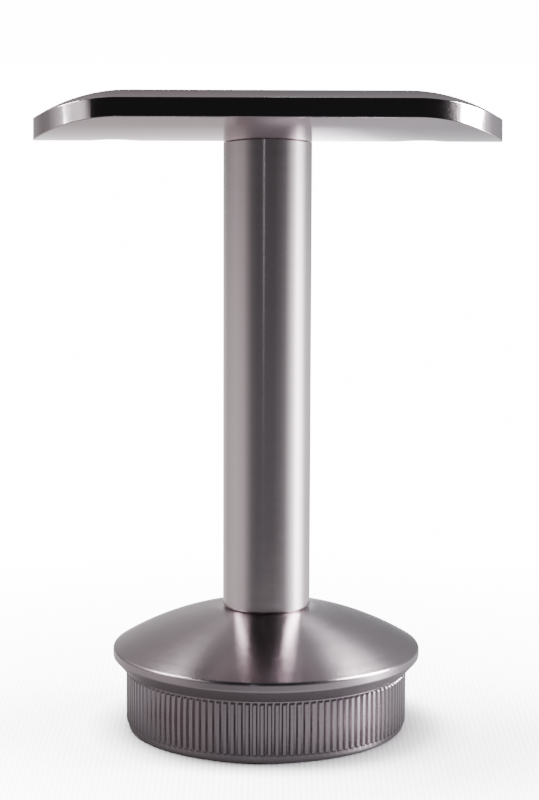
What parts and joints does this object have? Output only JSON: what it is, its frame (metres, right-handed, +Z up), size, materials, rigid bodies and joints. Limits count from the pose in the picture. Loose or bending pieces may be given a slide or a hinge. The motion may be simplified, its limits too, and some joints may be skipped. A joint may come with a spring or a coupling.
{
  "type": "handrail support",
  "caption": "Fixed-height handrail support: a curved saddle plate for a round rail on a bar stem, screwed to a domed cap whose knurled spigot drives into a round post tube.",
  "frame": {"origin": "centre of the spigot's bottom face, on the post tube's axis", "axes": "+Z up along the post and the stem, +X along the handrail"},
  "size_m": [0.063, 0.0424, 0.0876],
  "materials": {
    "turned_steel": "lathe turned",
    "stem_steel": "brushed lengthwise",
    "saddle_steel": "satin polished",
    "screw_steel": "rolled and tumbled"
  },
  "bodies": {
    "cap": {"end_cap": "turned_steel", "plain_washer": "screw_steel"},
    "head": {"stem": "stem_steel", "saddle": "saddle_steel", "saddle_screw": "screw_steel", "base_screw": "screw_steel", "lock_washer": "screw_steel"}
  },
  "joints": [
    {"name": "stem_swivel", "type": "hinge", "parent": "cap", "child": "head", "pos_m": [0, 0, 0.01705], "axis": [0, 0, 1], "continuous": true}
  ]
}
